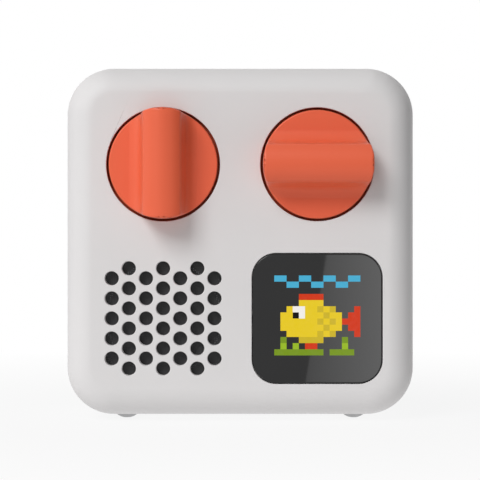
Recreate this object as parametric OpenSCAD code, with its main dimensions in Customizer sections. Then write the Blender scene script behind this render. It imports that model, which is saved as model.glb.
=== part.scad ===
// Audio story player: a square box with two push-and-turn knobs, a speaker grille
// and a pixel display in front, and a card slot in the top.
// Millimetres, +Z up, the front faces -Y, the origin is on the plane of the feet
// below the middle of the whole part. Depths run back from the front face.

/* [Body] */
// Width and height of the square body
body_w = 69.6; // [64:0.2:76]
// Depth of the body behind its front face
body_d = 33; // [31:0.5:38]
// Radius of the four corners, seen from the front
corner_r = 9.4; // [8.6:0.1:11]
// Radius of the front and rear edges
edge_r = 5.6; // [4.6:0.1:6.2]
// Thickness of the housing walls
wall = 2; // [1.8:0.1:2.2]
// How far each knob, the grille and the display stand from the middle
quad = 15.3; // [15.2:0.05:15.8]

/* [Knobs] */
// Diameter of a knob
knob_d = 21.6; // [20:0.2:22]
// Gap between a knob and its well
knob_gap = 0.5; // [0.35:0.05:0.6]
// How far a knob's bar stands in front of the face
knob_proud = 7.6; // [6.5:0.1:9]
// Width of the bar at the edges of its crown
bar_w = 7.4; // [6.4:0.1:8]
// Height of the rounded crown of the bar
crown_h = 1.53; // [1:0.01:2]
// Radius of the hollow between the bar and the disc
scoop_r = 2.9; // [2:0.1:3.2]
// How far a knob can be pressed
knob_travel = 0.9; // [0.5:0.1:0.9]

/* [Display] */
// Width of the square display window
lens_w = 25.7; // [25.2:0.1:26.2]
// Corner radius of the display window
lens_r = 4.7; // [4:0.1:5.5]
// Number of pixels each way
pixels = 16; // [12:1:16]
// Distance between pixels
pixel_pitch = 1.22; // [1.1:0.01:1.25]

/* [Grille] */
// Diameter of one grille hole
hole_d = 2.8; // [2.2:0.02:3]
// Distance between grille columns
grille_x = 3.4; // [3.2:0.05:3.5]
// Distance between the holes of one column
grille_z = 3.98; // [3.7:0.02:4.1]

/* [Card slot] */
// Distance from a side of the body to the end of the card slot
slot_side = 6.8; // [6:0.1:8]
// Thickness of the card slot
slot_t = 2.4; // [1.8:0.1:2.6]

/* [Feet] */
// Height of a foot below the body
foot_h = 1.2; // [1:0.05:1.6]
// Distance of the feet from the sides of the body
foot_side = 11.6; // [10:0.1:15]

/* [Hidden] */
$fn = 64;
// the body: half width, and half width inside
hw = body_w / 2;
iw = hw - wall;
front_y = knob_proud - (body_d + knob_proud) / 2;
mid_z = foot_h + hw;
// the knob, its heights counted forward from the top of its disc
knob_r = knob_d / 2;
well_r = knob_r + knob_gap;
disc_front = 0.3;
disc_t = 2.2;
bar_h = knob_proud - disc_front;
crease_h = bar_h - crown_h;
crown_r = (bar_w * bar_w / 4 + crown_h * crown_h) / (2 * crown_h);
wall_a = 80;
scoop_y = scoop_r * cos(5);
scoop_x = bar_w / 2 + (scoop_y + (crease_h - scoop_y) * cos(wall_a)) / sin(wall_a);
low_y = scoop_y - scoop_r * cos(wall_a);
low_x = bar_w / 2 + (crease_h - low_y) / tan(wall_a);
top_x = bar_w / 2 + (crease_h - bar_h - 1) / tan(wall_a);
rim_r = 0.6;
// the encoders behind the knobs, and the flatted end of their shafts
can_w = 12.4;
can_wall = 0.5;
bush_r = 3.5;
collar_r = 4;
shaft_r = 2.975;
shaft_flat = 1.575;
shaft_fit = 0.025;
stem_r = 1.2;
// the loudspeaker
speaker_r = 13.4;
basket_h = 7;
magnet_t = 3;
yoke_t = 1.2;
// depths of the layers, front to rear
well_floor = disc_t - disc_front + knob_travel + 0.6;
can_d = 8;
board_d = wall + basket_h + magnet_t + yoke_t + 0.8;
base_t = 1.4;
plunger_d = board_d - base_t - knob_travel - 0.7;
board_t = 1.6;
rear_face = board_d + board_t;
chute_d = rear_face + 3.5;
chute_wall = 0.9;
chute_back = chute_d + slot_t + 2 * chute_wall;
reader_t = 0.8;
coil_t = 0.2;
// the card slot and the joint between the shells behind it
slot_w = body_w - 2 * slot_side;
slot_d = chute_d + chute_wall + slot_t / 2;
lead_in = 1;
seam = slot_d + slot_t / 2 + lead_in + 1.6;
seam_gap = 0.2;
// posts of the rear cover's screws
post_xz = hw - 7.4;
post_r = 2.75;
rib_front = 6.5;
rib_t = 1.2;
// the display behind its window
window_w = lens_w - 2.9;
frame_w = window_w + 1.6;
matrix_w = window_w + 1.8;
cell_w = pixel_pitch - 0.22;
// the card reader
reader_w = slot_w - 6;
reader_z = -11;
reader_h = iw + 5.2;
// the feet
foot_x = hw - foot_side;
foot_r = 3.4;
foot_front_d = 11;
foot_rear_d = seam - foot_r - 0.6;
// the ports in the right wall
port_button_z = 14;
port_usb_z = -2;
port_jack_z = -18;
button_d = rear_face + 1.8;
usb_d = rear_face + 1.63;
jack_d = rear_face + 2.5;
jack_len = 16;
jack_depth = 14.6;
jack_hole_r = 3;
// the battery
batt_side = 9.8;
batt_w = body_w - 2 * batt_side;
batt_h = 34;
foam_t = 0.6;
batt_back = body_d - wall - foam_t;
batt_t = batt_back - chute_back - reader_t - coil_t - 0.6;
connector_x = 5;
connector_z = -25.5;
connector_w = 8;
connector_h = 5;
connector_t = 4;
// the wireless module, and the memory card with its socket
wifi_w = 18;
wifi_h = 22;
wifi_x = -22;
wifi_z = -2;
socket_x = -(post_xz - post_r - 1.65);
socket_z = -(iw - 6.8);
card_w = 11;
card_h = 15;
// places of the four screws of the main board
board_spots = [[0, iw - 4.8], [0, -(iw - 4.8)], [iw - 3.8, 7], [-(iw - 3.8), 7]];

// ---- helpers: x across, y depth behind the front face, z from the body's middle ----
module at_body() {
  translate([0, front_y, mid_z]) children();
}

module ycyl(r, h) {
  rotate([-90, 0, 0]) cylinder(r = r, h = h);
}

module turned() {
  rotate([-90, 0, 0]) rotate_extrude() children();
}

module plate(h) {
  translate([0, h, 0]) rotate([90, 0, 0]) linear_extrude(h) children();
}

module side(len) {
  rotate([90, 0, 90]) linear_extrude(len) children();
}

module rsq(w, h, r) {
  square([w - 2 * r, h], center = true);
  square([w, h - 2 * r], center = true);
  for (sx = [-1, 1]) {
    for (sy = [-1, 1]) {
      translate([sx * (w / 2 - r), sy * (h / 2 - r)]) circle(r);
    }
  }
}

module stadium(w, h) {
  square([w, h - w], center = true);
  for (s = [-1, 1]) {
    translate([0, s * (h - w) / 2]) circle(w / 2);
  }
}

module edge_profile(rc, rf, d) {
  translate([0, rf]) square([rc, d - 2 * rf]);
  square([rc - rf, d]);
  translate([rc - rf, rf]) intersection() {
    circle(rf);
    translate([0, -rf]) square([rf, rf]);
  }
  translate([rc - rf, d - rf]) intersection() {
    circle(rf);
    square([rf, rf]);
  }
}

module edge_slab(len, rf, d) {
  translate([-len / 2, rf]) square([len, d - 2 * rf]);
  translate([-len / 2 + rf, 0]) square([len - 2 * rf, d]);
  for (s = [-1, 1]) {
    for (y = [rf, d - rf]) {
      translate([s * (len / 2 - rf), y]) circle(rf);
    }
  }
}

module rbox(w, d, rc, rf) {
  for (sx = [-1, 1]) {
    for (sz = [-1, 1]) {
      translate([sx * (w / 2 - rc), 0, sz * (w / 2 - rc)]) rotate([-90, 0, 0])
        rotate_extrude() edge_profile(rc, rf, d);
    }
  }
  translate([0, 0, -(w / 2 - rc)]) linear_extrude(w - 2 * rc) edge_slab(w, rf, d);
  rotate([0, 90, 0]) translate([0, 0, -(w / 2 - rc)]) linear_extrude(w - 2 * rc)
    edge_slab(w, rf, d);
}

module hollow_box() {
  difference() {
    rbox(body_w, body_d, corner_r, edge_r);
    translate([0, wall, 0]) rbox(body_w - 2 * wall, body_d - 2 * wall, corner_r - wall, edge_r - wall);
  }
}

module elbow(bend, r) {
  rotate_extrude(angle = 90) translate([bend, 0]) circle(r);
}

// ---- housing ----
module post_rib(w, h) {
  plate(seam - 2.4 - rib_front) square([w, h], center = true);
}

module front_shell() {
  rib_w = iw + 0.5 - post_xz;
  rib_mid = post_xz + rib_w / 2;
  color("#d9d7d7") at_body() difference() {
    union() {
      difference() {
        hollow_box();
        translate([-body_w, seam - seam_gap / 2, -body_w]) cube([2 * body_w, body_d, 2 * body_w]);
      }
      for (s = [-1, 1]) {
        translate([s * quad, 1, quad]) ycyl(well_r + 1.5, well_floor + 0.5);
        translate([s * post_xz, 1, -post_xz]) ycyl(post_r, seam - 1.2);
        translate([s * rib_mid, rib_front, -post_xz]) post_rib(rib_w, rib_t);
        translate([s * post_xz, rib_front, -rib_mid]) post_rib(rib_t, rib_w);
      }
      for (p = board_spots) {
        translate([p[0], 1, p[1]]) ycyl(2, board_d - 1);
      }
      translate([-quad, 1, -quad]) ycyl(speaker_r + 1.2, 3.5);
      translate([quad, 1, -quad]) plate(3) rsq(frame_w, frame_w, 2.6);
    }
    // wells and shaft holes
    for (s = [-1, 1]) {
      translate([s * quad, -1, quad]) ycyl(well_r, well_floor + 1);
      translate([s * quad, 0, quad]) ycyl(4.8, well_floor + 3);
      translate([s * post_xz, 10, -post_xz]) ycyl(0.9, seam);
    }
    for (p = board_spots) {
      translate([p[0], 6, p[1]]) ycyl(0.8, board_d);
    }
    // seat of the loudspeaker and the grille
    translate([-quad, wall, -quad]) ycyl(speaker_r + 0.2, 6);
    translate([-quad, -1, -quad]) plate(wall + 5) grille();
    // pocket of the display
    translate([quad, -1, -quad]) plate(2.4) rsq(lens_w + 0.3, lens_w + 0.3, lens_r + 0.15);
    translate([quad, 0, -quad]) plate(6) rsq(window_w, window_w, 1.8);
    // card slot with a lead-in on both long sides
    translate([-slot_w / 2, slot_d - slot_t / 2, iw - 1]) cube([slot_w, slot_t, wall + 3]);
    translate([-slot_w / 2, slot_d, hw]) side(slot_w)
      polygon([[-slot_t / 2, -lead_in], [slot_t / 2, -lead_in], [slot_t / 2 + lead_in, 0],
        [slot_t / 2 + lead_in, 1], [-slot_t / 2 - lead_in, 1], [-slot_t / 2 - lead_in, 0]]);
    // ports in the right wall
    translate([iw - 2, button_d, port_button_z]) rotate([0, 90, 0]) cylinder(r = 3, h = wall + 4);
    translate([iw - 2, usb_d, port_usb_z]) side(wall + 4) stadium(3.9, 9.6);
    translate([iw - 2, jack_d, port_jack_z]) rotate([0, 90, 0])
      cylinder(r = jack_hole_r, h = wall + 4);
    // seats of the feet
    for (s = [-1, 1]) {
      for (d = [foot_front_d, foot_rear_d]) {
        translate([s * foot_x, d, -hw - 1]) cylinder(r = foot_r - 0.1, h = 1.5);
      }
    }
  }
}

module grille() {
  for (i = [0:6]) {
    n = i % 2 == 0 ? 5 : 6;
    for (j = [0:n - 1]) {
      translate([(i - 3) * grille_x, (j - (n - 1) / 2) * grille_z]) circle(hole_d / 2);
    }
  }
}

module rear_cover() {
  rib_d = batt_back - batt_t + 2.1;
  color("#d9d7d7") at_body() difference() {
    union() {
      difference() {
        hollow_box();
        translate([-body_w, -1, -body_w]) cube([2 * body_w, seam + seam_gap / 2 + 1, 2 * body_w]);
      }
      translate([0, seam + seam_gap / 2, 0]) plate(1.8) difference() {
        rsq(2 * iw + 0.8, 2 * iw + 0.8, corner_r - wall + 0.4);
        rsq(2 * iw - 2.2, 2 * iw - 2.2, corner_r - wall - 1.1);
      }
      translate([0, seam - 1.6, 0]) plate(2.2) difference() {
        rsq(2 * iw - 0.2, 2 * iw - 0.2, corner_r - wall - 0.1);
        rsq(2 * iw - 2.2, 2 * iw - 2.2, corner_r - wall - 1.1);
      }
      for (s = [-1, 1]) {
        translate([s * post_xz, seam - 0.2, -post_xz]) ycyl(post_r, body_d - wall - seam + 1);
        translate([s * (batt_w / 2 + 1), rib_d, 0]) plate(body_d - rib_d - 1) square([1, 18], center = true);
        translate([0, rib_d, s * (batt_h / 2 + 1)]) plate(body_d - rib_d - 1) square([10, 1], center = true);
      }
    }
    for (s = [-1, 1]) {
      translate([s * post_xz, body_d - 4.5, -post_xz]) ycyl(2.4, 6);
      translate([s * post_xz, seam - 2, -post_xz]) ycyl(1.2, body_d - seam);
    }
  }
}

// ---- display ----
module display_lens() {
  color("#2b2b2d") at_body() translate([quad, 0, -quad]) plate(1.2) rsq(lens_w, lens_w, lens_r);
}

module lens_gasket() {
  color("#151515") at_body() translate([quad, 1.2, -quad]) plate(0.2) difference() {
    rsq(lens_w - 0.6, lens_w - 0.6, lens_r - 0.3);
    rsq(window_w + 0.2, window_w + 0.2, 1.9);
  }
}

module diffuser_sheet() {
  color("#5a5a5c") at_body() translate([quad, 1.2, -quad]) plate(0.25)
    rsq(window_w - 0.2, window_w - 0.2, 1.7);
}

module pixel_grid() {
  color("#1c1c1e") at_body() translate([quad, 1.45, -quad]) plate(2.55) difference() {
    rsq(window_w - 0.2, window_w - 0.2, 1.7);
    for (i = [0:pixels - 1]) {
      for (j = [0:pixels - 1]) {
        translate([(i - (pixels - 1) / 2) * pixel_pitch, (j - (pixels - 1) / 2) * pixel_pitch])
          square([cell_w, cell_w], center = true);
      }
    }
  }
}

module matrix_board() {
  color("#1d3b2a") at_body() translate([quad, 4, -quad]) plate(1) difference() {
    square([matrix_w, matrix_w], center = true);
    translate([post_xz - quad, -(post_xz - quad)]) {
      circle(post_r + 0.55);
      translate([0, -matrix_w]) square([matrix_w, matrix_w]);
    }
  }
}

module matrix_leds() {
  color("#f1f0e6") at_body() translate([quad, 3.4, -quad]) plate(0.6)
    for (i = [0:pixels - 1]) {
      for (j = [0:pixels - 1]) {
        translate([(i - (pixels - 1) / 2) * pixel_pitch, (j - (pixels - 1) / 2) * pixel_pitch])
          square([0.7, 0.7], center = true);
      }
    }
}

module matrix_ribbon() {
  color("#c9b26a") at_body() translate([quad - 9.9, 5, -quad - 5.7]) cube([0.3, board_d - 5, 9]);
}

// ---- loudspeaker ----
module at_speaker() {
  at_body() translate([-quad, wall, -quad]) children();
}

module acoustic_mesh() {
  color("#2a2a2c") at_speaker() ycyl(speaker_r - 0.2, 0.15);
}

module speaker_gasket() {
  color("#202020") at_speaker() translate([0, 0.15, 0]) difference() {
    ycyl(speaker_r, 0.6);
    translate([0, -1, 0]) ycyl(speaker_r - 1.8, 3);
  }
}

module speaker_basket() {
  color("#8b8e92") at_speaker() turned() polygon([[speaker_r - 2.2, 0.75], [speaker_r, 0.75],
    [speaker_r, 1.45], [speaker_r - 1.3, 1.45], [8.3, basket_h], [4.4, basket_h],
    [4.4, basket_h - 0.6], [7.8, basket_h - 0.6], [speaker_r - 2.2, 1.45]]);
}

module speaker_surround() {
  color("#1b1b1c") at_speaker() turned() {
    translate([speaker_r - 3.3, 1.2]) intersection() {
      difference() {
        circle(1);
        circle(0.75);
      }
      translate([-1, -1]) square([2, 1]);
    }
    translate([speaker_r - 2.4, 0.95]) square([0.2, 0.25]);
    translate([speaker_r - 4.6, 0.95]) square([0.35, 0.25]);
  }
}

module speaker_cone() {
  color("#3a3a3c") at_speaker() turned() polygon([[speaker_r - 4.6, 1.2], [speaker_r - 4.2, 1.2],
    [4.1, basket_h - 2.2], [3.7, basket_h - 2.2], [3.7, basket_h - 2.6]]);
}

module speaker_dust_cap() {
  color("#303032") at_speaker() turned() intersection() {
    translate([0, basket_h + 0.68]) difference() {
      circle(6);
      circle(5.75);
    }
    square([4.6, basket_h - 3.22]);
  }
}

module voice_coil() {
  color("#b87333") at_speaker() translate([0, basket_h - 2.2, 0]) difference() {
    ycyl(3.85, 3.6);
    translate([0, -1, 0]) ycyl(3.5, 6);
  }
}

module speaker_magnet() {
  color("#3c3d40") at_speaker() translate([0, basket_h, 0]) difference() {
    ycyl(8.2, magnet_t);
    translate([0, -1, 0]) ycyl(4.4, 6);
  }
}

module speaker_yoke() {
  color("#a7a9ac") at_speaker() union() {
    translate([0, basket_h + magnet_t, 0]) ycyl(8.2, yoke_t);
    translate([0, basket_h - 2.8, 0]) ycyl(3.2, magnet_t + 3);
  }
}

module speaker_wires() {
  color("#b02a2a") at_body() for (z = [-quad - 1, -quad + 1]) {
    translate([9.95 - quad, 7, z]) rotate([0, 90, 0]) cylinder(r = 0.4, h = 1);
    translate([10.95 - quad, 8.2, z]) rotate([0, 0, -90]) elbow(1.2, 0.4);
    translate([12.15 - quad, 8.2, z]) ycyl(0.4, board_d - 8.2);
  }
}

// ---- main board and what it carries ----
module main_board() {
  color("#1f5a3a") at_body() translate([0, board_d, 0]) plate(board_t) difference() {
    rsq(2 * iw - 3.6, 2 * iw - 3.6, 4);
    for (s = [-1, 1]) {
      translate([s * (iw - 1.8), -(iw - 1.8)]) square([13.6, 13.6], center = true);
    }
    for (p = board_spots) {
      translate([p[0], p[1]]) circle(1.1);
    }
  }
}

module wifi_module() {
  color("#b9bcc0") at_body() union() {
    translate([wifi_x, rear_face, wifi_z]) cube([wifi_w, 0.8, wifi_h]);
    translate([wifi_x + 1.5, rear_face + 0.7, wifi_z + 1.5]) cube([wifi_w - 3, 2.1, wifi_h - 8]);
  }
}

module amplifier_chip() {
  color("#17181a") at_body() translate([-4, rear_face, -19]) cube([5, 0.9, 5]);
}

module usb_c_shell() {
  color("#c3c6ca") at_body() difference() {
    translate([iw - 6.6, usb_d, port_usb_z]) side(7.8) stadium(3.26, 8.94);
    translate([iw - 5.6, usb_d, port_usb_z]) side(9) stadium(2.62, 8.3);
  }
}

module usb_c_tongue() {
  color("#131314") at_body() translate([iw - 5.6, usb_d - 0.35, port_usb_z - 3.3]) cube([4.9, 0.7, 6.6]);
}

module headphone_jack() {
  color("#141415") at_body() difference() {
    translate([iw - 0.3 - jack_len, rear_face, port_jack_z - 3]) cube([jack_len, 5, 6]);
    translate([iw - 0.3 - jack_depth, jack_d, port_jack_z]) rotate([0, 90, 0])
      cylinder(r = 1.8, h = jack_len);
  }
}

module power_switch() {
  color("#2c2d30") at_body() difference() {
    translate([iw - 6.6, rear_face, port_button_z - 2.6]) cube([3.8, 3.4, 5.2]);
    translate([iw - 3.6, button_d, port_button_z]) rotate([0, 90, 0]) cylinder(r = 1.06, h = 3);
  }
}

module power_button() {
  color("#d9d7d7") at_body() translate([0, button_d, port_button_z]) rotate([0, 90, 0]) union() {
    translate([0, 0, iw - 3]) cylinder(r = 1, h = 2.4);
    translate([0, 0, iw - 1.2]) cylinder(r = 3.5, h = 1);
    translate([0, 0, iw - 0.4]) cylinder(r = 2.7, h = wall + 0.3);
  }
}

module memory_card_socket() {
  color("#a9acb0") at_body() difference() {
    translate([socket_x, rear_face, socket_z]) cube([card_w + 3, 1.9, card_h]);
    translate([socket_x + 1.4, rear_face + 0.5, socket_z - 1]) cube([card_w + 0.2, 0.9, card_h - 0.5]);
  }
}

module memory_card() {
  color("#1a1a1c") at_body() translate([socket_x + 1.5, rear_face + 0.6, socket_z - 1.6])
    cube([card_w, 0.7, card_h]);
}

module battery_connector() {
  color("#efece2") at_body() translate([connector_x, rear_face, connector_z])
    cube([connector_w, connector_t, connector_h]);
}

module battery_wires() {
  wire_d = batt_back - batt_t / 2;
  bend = 1.5;
  start_d = rear_face + connector_t;
  start_z = connector_z + connector_h / 2;
  color("#a82424") at_body() for (s = [-1, 1]) {
    translate([connector_x + connector_w / 2 + 1.2 * s, 0, start_z]) {
      translate([0, wire_d, bend]) cylinder(r = 0.45, h = -batt_h / 2 - start_z - bend);
      translate([0, wire_d - bend, bend]) rotate([-90, 0, 90]) elbow(bend, 0.45);
      translate([0, start_d, 0]) ycyl(0.45, wire_d - bend - start_d);
    }
  }
}

module battery() {
  color("#b9bcc1") at_body() translate([0, batt_back - batt_t, 0]) plate(batt_t) rsq(batt_w, batt_h, 2);
}

module battery_foam() {
  color("#2f2f31") at_body() translate([0, batt_back, 0]) plate(foam_t)
    square([batt_w - 10, batt_h - 8], center = true);
}

// ---- card reader ----
module card_chute() {
  color("#26272a") at_body() difference() {
    union() {
      translate([-slot_w / 2 - 1.5, chute_d, reader_z - 2])
        cube([slot_w + 3, chute_back - chute_d, iw - 1.4 - reader_z + 2]);
      for (s = [-1, 1]) {
        for (z = [iw - 10.8, reader_z + 1.6]) {
          translate([s * (slot_w / 2 - 2), rear_face, z]) ycyl(1.5, chute_d - rear_face + 0.2);
        }
      }
    }
    translate([-slot_w / 2, chute_d + chute_wall, reader_z - 1]) cube([slot_w, slot_t, body_w]);
  }
}

module nfc_board() {
  color("#20573a") at_body() translate([-reader_w / 2, chute_back, reader_z])
    cube([reader_w, reader_t, reader_h]);
}

module nfc_coil() {
  coil_z = reader_z + reader_h / 2;
  color("#c07a3a") at_body() translate([0, chute_back + reader_t, coil_z]) plate(coil_t) difference() {
    rsq(reader_w - 6, reader_h - 6, 3);
    rsq(reader_w - 12, reader_h - 12, 1.5);
  }
}

// ---- encoders: both at the same depth, one behind each knob ----
module at_knob(s) {
  at_body() translate([s * quad, 0, quad]) children();
}

module encoder_cans() {
  color("#b4b6ba") for (s = [-1, 1]) {
    at_knob(s) difference() {
      translate([-can_w / 2, can_d, -can_w / 2]) cube([can_w, board_d - can_d, can_w]);
      translate([can_wall - can_w / 2, can_d + can_wall, can_wall - can_w / 2])
        cube([can_w - 2 * can_wall, board_d, can_w - 2 * can_wall]);
      translate([0, can_d - 3, 0]) ycyl(bush_r + 0.05, 6);
    }
  }
}

module encoder_bushings() {
  color("#c9a94f") for (s = [-1, 1]) {
    at_knob(s) difference() {
      union() {
        translate([0, can_d - 2.4, 0]) ycyl(bush_r, 3.2);
        translate([0, can_d + can_wall, 0]) ycyl(bush_r + 0.8, 0.5);
      }
      translate([0, can_d - 3, 0]) ycyl(shaft_r + 0.055, 6);
    }
  }
}

module encoder_bases() {
  color("#2a2b2e") for (s = [-1, 1]) {
    at_knob(s) difference() {
      translate([-5.6, board_d - base_t, -5.6]) cube([11.2, base_t, 11.2]);
      translate([0, board_d - 3, 0]) ycyl(1.56, 6);
    }
  }
}

module shaft(s) {
  color("#8f9296") at_knob(s) union() {
    translate([0, -1.8, 0]) plate(6.5) intersection() {
      circle(shaft_r);
      translate([-4, -4]) square([4 + shaft_flat, 8]);
    }
    translate([0, 4.6, 0]) ycyl(shaft_r, can_d - 3);
    translate([0, can_d + 1.4, 0]) ycyl(collar_r, 1);
    translate([0, can_d + 2.2, 0]) ycyl(stem_r, plunger_d - can_d - 2.2);
  }
}

module plunger(s) {
  color("#d8d4c6") at_knob(s) union() {
    translate([0, plunger_d, 0]) ycyl(3.5, 0.6);
    translate([0, plunger_d + 0.4, 0]) ycyl(1.5, base_t + 0.2);
  }
}

module knob_section() {
  translate([-knob_r - 1, -disc_t]) square([knob_d + 2, disc_t]);
  difference() {
    intersection() {
      polygon([[-scoop_x, -0.4], [scoop_x, -0.4], [scoop_x, 0.2], [low_x, low_y], [top_x, bar_h + 1],
        [-top_x, bar_h + 1], [-low_x, low_y], [-scoop_x, 0.2]]);
      union() {
        translate([-scoop_x - 1, -1]) square([2 * scoop_x + 2, crease_h]);
        translate([0, bar_h - crown_r]) circle(crown_r);
      }
    }
    for (s = [-1, 1]) {
      translate([s * scoop_x, scoop_y]) circle(scoop_r);
    }
  }
}

module knob_round() {
  rotate([90, 0, 0]) rotate_extrude() {
    translate([0, -disc_t]) square([knob_r, disc_t + bar_h - rim_r]);
    translate([0, -disc_t]) square([knob_r - rim_r, disc_t + bar_h]);
    translate([knob_r - rim_r, bar_h - rim_r]) intersection() {
      circle(rim_r);
      square([rim_r, rim_r]);
    }
  }
}

module knob(s, turn) {
  color("#e56a4a") at_knob(s) difference() {
    union() {
      translate([0, -disc_front, 0]) intersection() {
        knob_round();
        rotate([0, turn, 0]) rotate([180, 0, 0]) linear_extrude(knob_d + 4, center = true) knob_section();
      }
      translate([0, disc_t - disc_front - 0.3, 0]) ycyl(4.2, 2.8);
    }
    translate([0, -1.85, 0]) plate(8) intersection() {
      circle(shaft_r + shaft_fit);
      translate([-4, -4]) square([4 + shaft_flat + shaft_fit, 8]);
    }
  }
}

module left_knob() {
  knob(-1, 0);
}

module right_knob() {
  knob(1, 90);
}

module left_shaft() {
  shaft(-1);
}

module right_shaft() {
  shaft(1);
}

module left_plunger() {
  plunger(-1);
}

module right_plunger() {
  plunger(1);
}

// ---- screws ----
module shell_screws() {
  color("#55585c") for (s = [-1, 1]) {
    at_body() translate([s * post_xz, 0, -post_xz]) difference() {
      union() {
        translate([0, seam - 7, 0]) ycyl(0.88, body_d - seam + 2.6);
        translate([0, body_d - 4.5, 0]) ycyl(2.1, 1.6);
      }
      translate([-1.3, body_d - 3.6, -0.3]) cube([2.6, 2, 0.6]);
      translate([-0.3, body_d - 3.6, -1.3]) cube([0.6, 2, 2.6]);
    }
  }
}

module board_screws() {
  color("#9a9da1") at_body() for (p = board_spots) {
    translate([p[0], 0, p[1]]) difference() {
      union() {
        translate([0, 8, 0]) ycyl(0.78, rear_face - 7.8);
        translate([0, rear_face, 0]) ycyl(1.8, 1.2);
      }
      translate([-1.1, rear_face + 0.6, -0.25]) cube([2.2, 2, 0.5]);
      translate([-0.25, rear_face + 0.6, -1.1]) cube([0.5, 2, 2.2]);
    }
  }
}

// ---- feet ----
module foot(s, d) {
  color("#8e8e90") at_body() translate([s * foot_x, d, -hw]) rotate_extrude() intersection() {
    translate([0, foot_r - 0.1 - foot_h]) circle(foot_r);
    translate([0, -foot_h]) square([4, foot_h + 0.5]);
  }
}

module foot_front_left() {
  foot(-1, foot_front_d);
}

module foot_front_right() {
  foot(1, foot_front_d);
}

module foot_rear_left() {
  foot(-1, foot_rear_d);
}

module foot_rear_right() {
  foot(1, foot_rear_d);
}

front_shell();
rear_cover();
display_lens();
lens_gasket();
diffuser_sheet();
pixel_grid();
matrix_board();
matrix_leds();
matrix_ribbon();
acoustic_mesh();
speaker_gasket();
speaker_basket();
speaker_surround();
speaker_cone();
speaker_dust_cap();
voice_coil();
speaker_magnet();
speaker_yoke();
main_board();
wifi_module();
amplifier_chip();
usb_c_shell();
usb_c_tongue();
headphone_jack();
power_switch();
power_button();
memory_card_socket();
memory_card();
battery();
battery_foam();
battery_connector();
battery_wires();
speaker_wires();
nfc_board();
nfc_coil();
card_chute();
encoder_cans();
encoder_bushings();
encoder_bases();
left_knob();
right_knob();
left_shaft();
right_shaft();
left_plunger();
right_plunger();
shell_screws();
board_screws();
foot_front_left();
foot_front_right();
foot_rear_left();
foot_rear_right();
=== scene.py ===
import math

import bmesh
import bpy
from bpy.props import FloatProperty, FloatVectorProperty, IntProperty, PointerProperty
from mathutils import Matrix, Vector


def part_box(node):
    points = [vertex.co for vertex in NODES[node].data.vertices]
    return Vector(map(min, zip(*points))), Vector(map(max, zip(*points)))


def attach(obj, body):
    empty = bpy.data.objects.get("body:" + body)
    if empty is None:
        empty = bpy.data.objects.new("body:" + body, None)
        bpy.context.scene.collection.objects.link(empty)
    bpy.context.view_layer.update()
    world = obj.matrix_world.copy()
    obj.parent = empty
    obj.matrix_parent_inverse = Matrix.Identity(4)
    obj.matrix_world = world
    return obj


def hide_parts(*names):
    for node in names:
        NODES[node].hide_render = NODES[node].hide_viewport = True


bl_info = {
    "name": "Square story player",
    "version": (1, 0, 0),
    "blender": (4, 5, 0),
    "location": "3D View > Sidebar > Story player",
    "description": "Dresses the solids of a square story player with finishes, a picture and a studio",
    "category": "Object",
}

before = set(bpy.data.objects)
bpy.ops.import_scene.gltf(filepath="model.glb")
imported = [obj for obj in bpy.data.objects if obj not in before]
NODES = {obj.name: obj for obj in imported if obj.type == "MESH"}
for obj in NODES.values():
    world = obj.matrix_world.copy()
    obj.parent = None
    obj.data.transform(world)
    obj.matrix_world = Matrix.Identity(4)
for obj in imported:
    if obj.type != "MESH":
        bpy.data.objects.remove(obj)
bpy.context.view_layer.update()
FRONT_LO, FRONT_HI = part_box("front_shell")
LENS_LO, LENS_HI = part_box("display_lens")
SPEAKER_LO, SPEAKER_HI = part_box("speaker_magnet")
SCREWS_LO, SCREWS_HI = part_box("shell_screws")
FACE_Y = FRONT_LO.y
BODY_MID_Z = (FRONT_LO.z + FRONT_HI.z) / 2
LENS_MID = (LENS_LO + LENS_HI) / 2
GRILLE_X = (SPEAKER_LO.x + SPEAKER_HI.x) / 2

MM = 0.001
# Distance between the columns of the grille's holes, and how many there are on each side of the middle one
GRILLE_PITCH = 3.4 * MM
GRILLE_SIDE_COLUMNS = 3
# Points nearer than this count as one, and faces that meet at a smaller angle than this as one flat face
TINY = 1e-7
FLAT = math.radians(0.2)
# Radius of a cover screw's head
SCREW_HEAD_R = 2 * MM
# The housing's edges are rounded only where they lie this near to its outside
HOUSING_SKIN = 1 * MM
# Painted shade and orange bounce light in the knobs' wells reach this far past a knob's rim, and lie between
# these depths behind the face
PAINTED_BOUNCE_PAST_KNOB = 0.55 * MM
PAINTED_BOUNCE_DEPTHS = (0.35 * MM, 9 * MM)
# Thickness of a lit pixel on the display's window
PIXEL_THICK = 0.02 * MM
# The cloth lies this far inside its solid's edge and fills this share of its thickness.
# Its rounded corners lie on a circle larger than the cloth by this share.
CLOTH_INSET = 0.05 * MM
CLOTH_FILL = 0.9
CLOTH_CORNER = 1.1


# ---- colours ----

def linear(r, g, b):
    """A colour as a screen shows it, 0 to 255, turned into the light it stands for."""
    out = []
    for v in (r, g, b):
        v = v / 255
        out.append(v / 12.92 if v <= 0.04045 else ((v + 0.055) / 1.055) ** 2.4)
    return (*out, 1.0)


def shade(colour, share):
    """The same colour, lighter or darker by a share."""
    return tuple(min(1.0, c * share) for c in colour[:3]) + (1.0,)


# ---- nodes and finishes ----

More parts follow.
